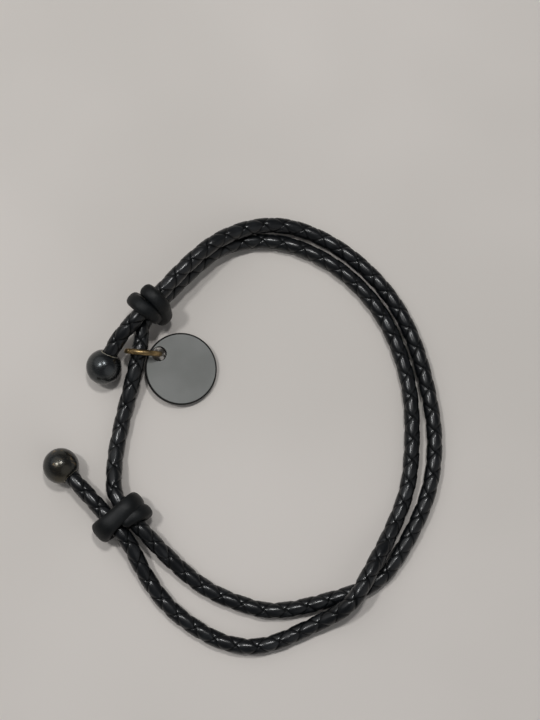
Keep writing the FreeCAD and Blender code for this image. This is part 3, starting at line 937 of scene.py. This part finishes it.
def make_keeper_finish():
    """Smooth dyed leather with a soft sheen."""
    material, tree, shader = new_material("knot_leather", Specular_IOR_Level=0.26)
    grain = use_group(tree, GRAIN, Place=object_place(tree), Fineness=KEEPER_GRAIN_FINENESS)
    colour = mixed(tree, ranged(tree, grain["Mottle"], 0.35, 0.65), KEEPER_DARK, KEEPER_FACE)
    feed(tree, shader, Base_Color=colour,
         Roughness=ranged(tree, grain["Mottle"], 0.3, 0.7, *KEEPER_ROUGHNESS))
    bumped(tree, shader, grain["Height"], KEEPER_GRAIN_DEPTH)
    return material


KEEPER_FINISH = make_keeper_finish()


# %% Tie the two knots
def tie_knot(name, body, knot, tie, heading_sign, hand):
    """Skin one keeper, give it its finish and let it ride on its body."""
    rings = keeper_rings(keeper_stations(knot, tie, heading_sign, hand), tie)
    piece = show(name + "_keeper", skin(name + "_keeper", rings))
    piece.data.materials.append(KEEPER_FINISH)
    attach(piece, body)
    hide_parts(name)
    lowest = min(vertex.co.z for vertex in piece.data.vertices)
    print("%s: %d faces, lowest point %.2f mm" % (name, len(piece.data.polygons), lowest * 1000))


tie_knot("upper_knot", "upper_knot", UPPER_KNOT, UPPER_TIE, -1, -1)
tie_knot("lower_knot", "lower_end", LOWER_KNOT, LOWER_TIE, +1, +1)

# %% [markdown]
# All the metal has been worn for a while. Handling leaves cloudy patches and small
# scratches, and the thin plating rubs through in places. One group makes those three masks
# for the balls, the ring and the disc, each with its own values.

# %% The wear group
HAZE_TO_PATCHES = 0.4
SCRATCH_TURN = 0.6
SCRATCH_STRETCH = 14.0


def make_wear_group():
    """Masks of worn patches, fine scratches and a cloudy haze, from one place vector."""
    tree, given = new_group("metal_wear",
                            {"Place": "NodeSocketVector", "Patch Size": "NodeSocketFloat",
                             "Scratch Size": "NodeSocketFloat"},
                            ["Patches", "Scratches", "Haze"])
    patches = noise(tree, given["Place"], maths(tree, "DIVIDE", 1.0, given["Patch Size"]),
                    detail=6.0, roughness=0.62)
    haze = noise(tree, given["Place"],
                 maths(tree, "DIVIDE", HAZE_TO_PATCHES, given["Patch Size"]), detail=2.0)
    stretched = add_node(tree, "ShaderNodeMapping",
                         {"Vector": given["Place"], "Rotation": (0.0, 0.0, SCRATCH_TURN),
                          "Scale": (1.0, SCRATCH_STRETCH, 1.0)})
    scratches = noise(tree, stretched.outputs[0],
                      maths(tree, "DIVIDE", 1.0, given["Scratch Size"]),
                      detail=4.0, roughness=0.7)
    add_node(tree, "NodeGroupOutput",
             {"Patches": patches, "Scratches": scratches, "Haze": haze})
    return tree


WEAR = make_wear_group()
print("wear group: %d nodes" % len(WEAR.nodes))

# %% [markdown]
# The ball ends are polished and plated nearly black, like gunmetal. The lower ball has been
# rubbed more, so its haze is warmer and brown metal shows through in spots. A profile turned
# as on a lathe gives each ball its bore with a softly rounded lip, so that the cord is seen
# to go in.

# %% The balls' finish
GUNMETAL = (0.052, 0.056, 0.058, 1)
COOL_HAZE = (0.100, 0.105, 0.106, 1)
WARM_HAZE = (0.072, 0.066, 0.052, 1)
BARE_BROWN = (0.33, 0.24, 0.14, 1)
RUBBED_EDGE = 0.12
BALL_ROUGHNESS = (0.20, 0.32)
BALL_SCRATCH_DEPTH = 0.000006


def make_ball_finish(name, rubbed_from, haze):
    """Polished gunmetal; the plating is rubbed off where the patches pass rubbed_from."""
    material, tree, shader = new_material(name, Metallic=0.92, Specular_IOR_Level=0.5)
    wear = use_group(tree, WEAR, Place=object_place(tree), Patch_Size=0.0022,
                     Scratch_Size=0.0011)
    plated = mixed(tree, ranged(tree, wear["Haze"], 0.4, 0.7), GUNMETAL, haze)
    rubbed = ranged(tree, wear["Patches"], rubbed_from, rubbed_from + RUBBED_EDGE)
    feed(tree, shader, Base_Color=mixed(tree, rubbed, plated, BARE_BROWN),
         Roughness=ranged(tree, wear["Scratches"], 0.35, 0.7, *BALL_ROUGHNESS))
    bumped(tree, shader, wear["Scratches"], BALL_SCRATCH_DEPTH)
    return material


# %% Turn the balls
BORE_CLEARANCE = 0.0001
BORE_RADIUS = CORD_RADIUS + BORE_CLEARANCE
BORE_FLOOR_SHARE = 0.4
LIP_RADIUS = 0.00025
LEAST_RADIUS = 1e-6
BALL_SIDES = 72
BALL_STEPS = 40
LIP_STEPS = 6


def ball_profile():
    """The half outline of a bored ball: distance from its axis, and height."""
    lip_turn = math.asin((BORE_RADIUS + LIP_RADIUS) / (BALL_RADIUS - LIP_RADIUS))
    profile = []
    for i in range(BALL_STEPS + 1):
        turn = math.pi - (math.pi - lip_turn) * i / BALL_STEPS
        profile.append((BALL_RADIUS * math.sin(turn), BALL_RADIUS * math.cos(turn)))
    lip_height = (BALL_RADIUS - LIP_RADIUS) * math.cos(lip_turn)
    for i in range(1, LIP_STEPS + 1):
        turn = lip_turn - (lip_turn + math.pi / 2) * i / LIP_STEPS
        profile.append((BORE_RADIUS + LIP_RADIUS + LIP_RADIUS * math.sin(turn),
                        lip_height + LIP_RADIUS * math.cos(turn)))
    floor_height = BALL_RADIUS - BORE_DEPTH
    profile.append((BORE_RADIUS, floor_height))
    profile.append((BORE_RADIUS * BORE_FLOOR_SHARE, floor_height))
    return profile


def circle_of_points(middle, first, second, radius, sides):
    """Points in a circle round middle, from the first direction towards the second."""
    turns = [2 * math.pi * i / sides for i in range(sides)]
    return [middle + (first * math.cos(turn) + second * math.sin(turn)) * radius
            for turn in turns]


def lathe(name, profile, middle, axis):
    """A profile turned round an axis through middle; its first and last rings are closed."""
    first = axis.orthogonal().normalized()
    second = axis.cross(first)
    return skin(name, [circle_of_points(middle + axis * height, first, second,
                                        max(radius, LEAST_RADIUS), BALL_SIDES)
                       for radius, height in profile])


def turn_ball(name, body, ball, previous, finish):
    """Turn one ball with its bore towards the cord, and let it ride on its body."""
    middle = ball_middle(ball)
    axis = (previous - middle).normalized()
    piece = show(name + "_polished", lathe(name + "_polished", ball_profile(), middle, axis))
    piece.data.materials.append(finish)
    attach(piece, body)
    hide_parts(name)
    print("%s: %d faces" % (name, len(piece.data.polygons)))


turn_ball("upper_ball", "root", UPPER_BALL, UPPER_TAIL_BEND,
          make_ball_finish("gunmetal", 0.78, COOL_HAZE))
turn_ball("lower_ball", "lower_end", LOWER_BALL, LOWER_TAIL_BEND,
          make_ball_finish("gunmetal_rubbed", 0.60, WARM_HAZE))

# %% [markdown]
# The jump ring is round brass wire, bent in a circle and cut once so that it can be opened.
# It stands on edge across the front strand, leaning a little, so the camera sees it as a
# straight bar. The brass has aged to a dull brown, with brighter metal in patches. A ring
# like this could be a torus, but a torus has no cut, so the wire is skinned from one face
# of the cut round to the other.

# %% The ring's place
RING_OUTER_RADIUS = 0.0038
RING_WIRE_RADIUS = 0.00055
RING_CLEARANCE = 0.00015
RING_RISE = 0.00035
RING_HEADING = math.radians(-5)
RING_LEAN = math.radians(9.5)
RING_CUT_DEGREES = 4
RING_CUT_PLACE = 45
RING_MEAN_RADIUS = RING_OUTER_RADIUS - RING_WIRE_RADIUS

ring_outwards = Vector((math.cos(RING_HEADING), math.sin(RING_HEADING), 0))
ring_rising = UP * math.cos(RING_LEAN) + ring_outwards.cross(UP) * math.sin(RING_LEAN)
ring_axle = ring_outwards.cross(ring_rising)
ring_offset = RING_OUTER_RADIUS - 2 * RING_WIRE_RADIUS - CORD_RADIUS - RING_CLEARANCE
ring_sideways = math.sqrt(ring_offset ** 2 - RING_RISE ** 2)
ring_seat = (ABOVE_RING + BELOW_RING) / 2
ring_middle = ring_seat + ring_outwards * ring_sideways + ring_rising * RING_RISE
print("ring middle", [round(value * 1000, 2) for value in ring_middle])

# %% The ring's finish and wire
BRASS_DULL = (0.17, 0.115, 0.055, 1)
BRASS_BRIGHT = (0.40, 0.28, 0.13, 1)
RING_STEPS = 120
WIRE_SIDES = 20
CUT_BEVEL = 0.00008
BRASS_ROUGHNESS = (0.48, 0.30)
BRASS_SCRATCH_DEPTH = 0.00001


def make_brass_finish():
    """Old brass, dull brown with brighter and smoother patches."""
    material, tree, shader = new_material("antique_brass", Metallic=0.95)
    wear = use_group(tree, WEAR, Place=object_place(tree), Patch_Size=0.0012,
                     Scratch_Size=0.0009)
    bright = ranged(tree, wear["Patches"], 0.38, 0.62)
    feed(tree, shader, Base_Color=mixed(tree, bright, BRASS_DULL, BRASS_BRIGHT),
         Roughness=ranged(tree, wear["Patches"], 0.35, 0.65, *BRASS_ROUGHNESS))
    bumped(tree, shader, wear["Scratches"], BRASS_SCRATCH_DEPTH)
    return material


def wire_rings():
    """Rings of points along the ring's wire, from one face of its cut to the other."""
    rings = []
    for i in range(RING_STEPS + 1):
        share = i / RING_STEPS
        turn = math.radians(RING_CUT_PLACE + (360 - RING_CUT_DEGREES) * share)
        out = ring_outwards * -math.cos(turn) + ring_rising * math.sin(turn)
        rings.append(circle_of_points(ring_middle + out * RING_MEAN_RADIUS, out, ring_axle,
                                      RING_WIRE_RADIUS, WIRE_SIDES))
    return rings


ring_piece = show("jump_ring_wire", skin("jump_ring_wire", wire_rings()))
ring_piece.data.materials.append(make_brass_finish())
cut_edges = ring_piece.modifiers.new("cut_edges", "BEVEL")
cut_edges.width = CUT_BEVEL
cut_edges.segments = 2
cut_edges.limit_method = "ANGLE"
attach(ring_piece, "jump_ring")
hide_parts("jump_ring")
print("jump ring: %d faces" % len(ring_piece.data.polygons))

# %% [markdown]
# The disc is a thick round blank with a hole close to its rim. It hangs on the ring by that
# hole, and its far edge rests on the table, which sets its tilt. Its face is a satin grey
# with very fine marks, and its edge is darker all round, which draws the thin outline that
# the photograph shows. The face is skinned from the hole's circle to the rim's circle, so
# both edges can be rounded by the same rings.

# %% The disc's place
DISC_RADIUS = 0.0072
DISC_HALF = 0.00065
DISC_EDGE = 0.0004
HOLE_RADIUS = 0.00135
HOLE_RIM = 0.00055
HOLE_EDGE = 0.00015
DISC_HEIGHT_AT_HOLE = 0.0030
DISC_HEADING = math.radians(-33)

hole_to_middle = DISC_RADIUS - HOLE_RIM - HOLE_RADIUS
ring_drop = (ring_middle.z - DISC_HEIGHT_AT_HOLE) / ring_rising.z
hole_middle = (ring_middle + ring_outwards * math.sqrt(RING_MEAN_RADIUS ** 2 - ring_drop ** 2)
               - ring_rising * ring_drop)
level = Vector((math.cos(DISC_HEADING), math.sin(DISC_HEADING), 0))
far_edge = hole_to_middle + DISC_RADIUS
disc_tilt = (math.asin(DISC_HEIGHT_AT_HOLE / math.hypot(far_edge, DISC_HALF))
             - math.atan2(DISC_HALF, far_edge))
disc_along = level * math.cos(disc_tilt) - UP * math.sin(disc_tilt)
disc_normal = level * math.sin(disc_tilt) + UP * math.cos(disc_tilt)
disc_across = disc_normal.cross(disc_along)
disc_middle = hole_middle + disc_along * hole_to_middle
print("disc leans %.1f degrees" % math.degrees(disc_tilt))

# %% The disc's finish
DISC_GREY = (0.195, 0.20, 0.19, 1)
DISC_PALE = (0.235, 0.24, 0.23, 1)
DISC_RIM_DARK = (0.010, 0.0095, 0.009, 1)
DISC_ROUGHNESS = (0.46, 0.58)
DISC_SCRATCH_DEPTH = 0.000012


def make_disc_finish():
    """Satin grey metal, dark where the mesh is marked as rim or hole."""
    material, tree, shader = new_material("satin_metal", Metallic=0.35,
                                          Specular_IOR_Level=0.4)
    wear = use_group(tree, WEAR, Place=object_place(tree), Patch_Size=0.0035,
                     Scratch_Size=0.0014)
    face = mixed(tree, ranged(tree, wear["Haze"], 0.35, 0.65), DISC_GREY, DISC_PALE)
    rim = ranged(tree, read(tree, "rim"), 0.15, 0.75)
    feed(tree, shader, Base_Color=mixed(tree, rim, face, DISC_RIM_DARK),
         Roughness=ranged(tree, wear["Scratches"], 0.3, 0.7, *DISC_ROUGHNESS))
    bumped(tree, shader, wear["Scratches"], DISC_SCRATCH_DEPTH)
    return material


# %% Skin the disc
DISC_SIDES = 128
EDGE_STEPS = 5
# one more circle just inside each rounded edge holds the flat face's shading flat
FACE_HOLD = 0.00004
FLAT_WITHIN = 1e-6


def circle_on_disc(middle_shift, radius, height):
    """A circle on the disc, shifted along it, at a height from its mid plane."""
    middle = disc_middle + disc_along * middle_shift + disc_normal * height
    return circle_of_points(middle, disc_along, disc_across, radius, DISC_SIDES)


def rounded_edge(radius, edge, side, outer):
    """Radii and heights from a face, over a rounded edge, to the wall; side is +1 on top."""
    steps = []
    for i in range(EDGE_STEPS + 1):
        turn = math.pi / 2 * i / EDGE_STEPS
        inwards = edge * (1 - math.sin(turn))
        height = side * (DISC_HALF - edge * (1 - math.cos(turn)))
        steps.append((radius - inwards if outer else radius + inwards, height))
    return steps


def disc_outline():
    """Shifts, radii and heights of circles over the top, the rim, the bottom and the hole."""
    rim_top = rounded_edge(DISC_RADIUS, DISC_EDGE, +1, True)
    rim_bottom = rounded_edge(DISC_RADIUS, DISC_EDGE, -1, True)[::-1]
    hole_bottom = rounded_edge(HOLE_RADIUS, HOLE_EDGE, -1, False)
    hole_top = rounded_edge(HOLE_RADIUS, HOLE_EDGE, +1, False)[::-1]
    inside_rim = DISC_RADIUS - DISC_EDGE - FACE_HOLD
    round_hole = HOLE_RADIUS + HOLE_EDGE + FACE_HOLD
    outline = [(0, inside_rim, DISC_HALF)]
    outline += [(0, radius, height) for radius, height in rim_top + rim_bottom]
    outline += [(0, inside_rim, -DISC_HALF), (-hole_to_middle, round_hole, -DISC_HALF)]
    outline += [(-hole_to_middle, radius, height) for radius, height in hole_bottom + hole_top]
    outline.append((-hole_to_middle, round_hole, DISC_HALF))
    return outline


disc_mesh = skin("disc_charm_satin", [circle_on_disc(*circle) for circle in disc_outline()],
                 loop=True)
rim_marks = disc_mesh.attributes.new("rim", "FLOAT", "POINT")
for vertex in disc_mesh.vertices:
    from_middle = vertex.co - disc_middle
    height = abs(from_middle.dot(disc_normal))
    rim_marks.data[vertex.index].value = 0.0 if height > DISC_HALF - FLAT_WITHIN else 1.0
disc_piece = show("disc_charm_satin", disc_mesh)
disc_piece.data.materials.append(make_disc_finish())
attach(disc_piece, "disc_charm")
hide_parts("disc_charm")
print("disc: %d faces" % len(disc_mesh.polygons))

# %% [markdown]
# A little glue holds each end of the cord in its ball. It is hardly seen, but it is part of
# how the bracelet is made, so the solids from the frame stay and get a finish: clear glue
# that has yellowed, with small bubbles.

# %% The glue's finish
GLUE_CLEAR = (0.62, 0.58, 0.48, 1)
GLUE_AMBER = (0.50, 0.40, 0.24, 1)
BUBBLES_EVERY = 2200.0
BUBBLE_DEPTH = 0.00002


def make_glue_finish():
    """Clear glue gone amber, with small bubbles."""
    material, tree, shader = new_material("glue", Roughness=0.25)
    bubbles = add_node(tree, "ShaderNodeTexVoronoi",
                       {"Vector": object_place(tree), "Scale": BUBBLES_EVERY})
    clear = ranged(tree, bubbles.outputs["Distance"], 0.1, 0.6)
    feed(tree, shader, Base_Color=mixed(tree, clear, GLUE_AMBER, GLUE_CLEAR))
    bumped(tree, shader, bubbles.outputs["Distance"], BUBBLE_DEPTH)
    return material


glue_finish = make_glue_finish()
for name in ("upper_glue", "lower_glue"):
    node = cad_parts[name]
    node.data.materials.clear()
    node.data.materials.append(glue_finish)
    print("%s: %d faces" % (name, len(node.data.polygons)))

# %% [markdown]
# The bracelet lies on a plain pale table under soft lamps. Two small soft lamps nearly
# overhead give the balls their pair of bright spots and the laces their glints, two broad
# ones model the forms, and a weak sky fills the shade, so that the leather stays black. Low
# down, the camera, and what is glossy or clear, show a pale backdrop instead of that sky. The
# far table melts into it, so no view ends in a hard edge.

# %% The table
FLOOR_HALF = 4.0
FLOOR_PALE = (0.77, 0.725, 0.68, 1)
FLOOR_WARM = (0.70, 0.66, 0.615, 1)
BACKDROP_PALE = (0.56, 0.535, 0.505, 1)
FLOOR_CLOUDS = 9.0
FADE_FROM = 0.15
FADE_TO = 0.9


def sees_backdrop(tree):
    """One for a ray straight from the camera, off something glossy or through glass."""
    paths = tree.nodes.new("ShaderNodeLightPath").outputs
    direct = maths(tree, "MAXIMUM", paths["Is Camera Ray"], paths["Is Glossy Ray"])
    return maths(tree, "MAXIMUM", direct, paths["Is Transmission Ray"])


def make_floor_finish():
    """A plain pale table with the faintest clouds."""
    material, tree, shader = new_material("table", Roughness=0.85, Specular_IOR_Level=0.2)
    cloud = noise(tree, object_place(tree), FLOOR_CLOUDS, detail=3.0)
    share = ranged(tree, cloud, 0.35, 0.65)
    feed(tree, shader, Base_Color=mixed(tree, share, FLOOR_WARM, FLOOR_PALE))

    # far from the bracelet the table melts into the backdrop
    distance = vectors(tree, "LENGTH", object_place(tree))
    faded = maths(tree, "MULTIPLY", ranged(tree, distance, FADE_FROM, FADE_TO),
                  sees_backdrop(tree))
    far = add_node(tree, "ShaderNodeEmission", {"Color": BACKDROP_PALE, "Strength": 1.0})
    either = add_node(tree, "ShaderNodeMixShader",
                      {0: faded, 1: shader.outputs[0], 2: far.outputs[0]})
    tree.links.new(either.outputs[0], tree.nodes["Material Output"].inputs["Surface"])
    return material


floor_mesh = bpy.data.meshes.new("floor")
corners = [(x * FLOOR_HALF, y * FLOOR_HALF, 0) for x, y in ((-1, -1), (1, -1), (1, 1), (-1, 1))]
floor_mesh.from_pydata(corners, [], [(0, 1, 2, 3)])
floor = show("floor", floor_mesh)
floor.data.materials.append(make_floor_finish())
print("table: %.0f m across" % (2 * FLOOR_HALF))

# %% The lamps
LAMPS = [
    ("broad_lamp", (-0.45, 0.40, 0.75), 1.2, 1.8),
    ("fill_lamp", (0.55, -0.45, 0.60), 1.1, 0.9),
    ("ceiling_lamp_left", (-0.265, 0.09, 0.62), 0.07, 1.0),
    ("ceiling_lamp_right", (0.025, 0.19, 0.62), 0.07, 1.0),
]

for name, place, size, power in LAMPS:
    data = bpy.data.lights.new(name, "AREA")
    data.shape = "DISK"
    data.size = size
    data.energy = power
    lamp = show(name, data)
    lamp.location = place
    lamp.rotation_euler = (-Vector(place)).to_track_quat("-Z", "Y").to_euler()
    print("%s: %.1f W, %.2f m across" % (name, power, size))

# %% The sky
SKY_LIGHT = (0.93, 0.95, 1.0, 1)
SKY_STRENGTH = 0.12
BACKDROP_TOP = 0.35

world = bpy.data.worlds.new("soft_sky")
world.use_nodes = True
tree = world.node_tree
sky = tree.nodes["Background"]
sky.inputs["Color"].default_value = SKY_LIGHT
sky.inputs["Strength"].default_value = SKY_STRENGTH
backdrop = add_node(tree, "ShaderNodeBackground", {"Color": BACKDROP_PALE, "Strength": 1.0})
way = add_node(tree, "ShaderNodeSeparateXYZ",
               {0: tree.nodes.new("ShaderNodeTexCoord").outputs["Generated"]})
low_down = ranged(tree, way.outputs["Z"], 0.0, BACKDROP_TOP, 1.0, 0.0)
seen = maths(tree, "MULTIPLY", low_down, sees_backdrop(tree))
either = add_node(tree, "ShaderNodeMixShader",
                  {0: seen, 1: sky.outputs[0], 2: backdrop.outputs[0]})
tree.links.new(either.outputs[0], tree.nodes["World Output"].inputs["Surface"])
bpy.context.scene.world = world
print("sky: strength %.2f" % SKY_STRENGTH)
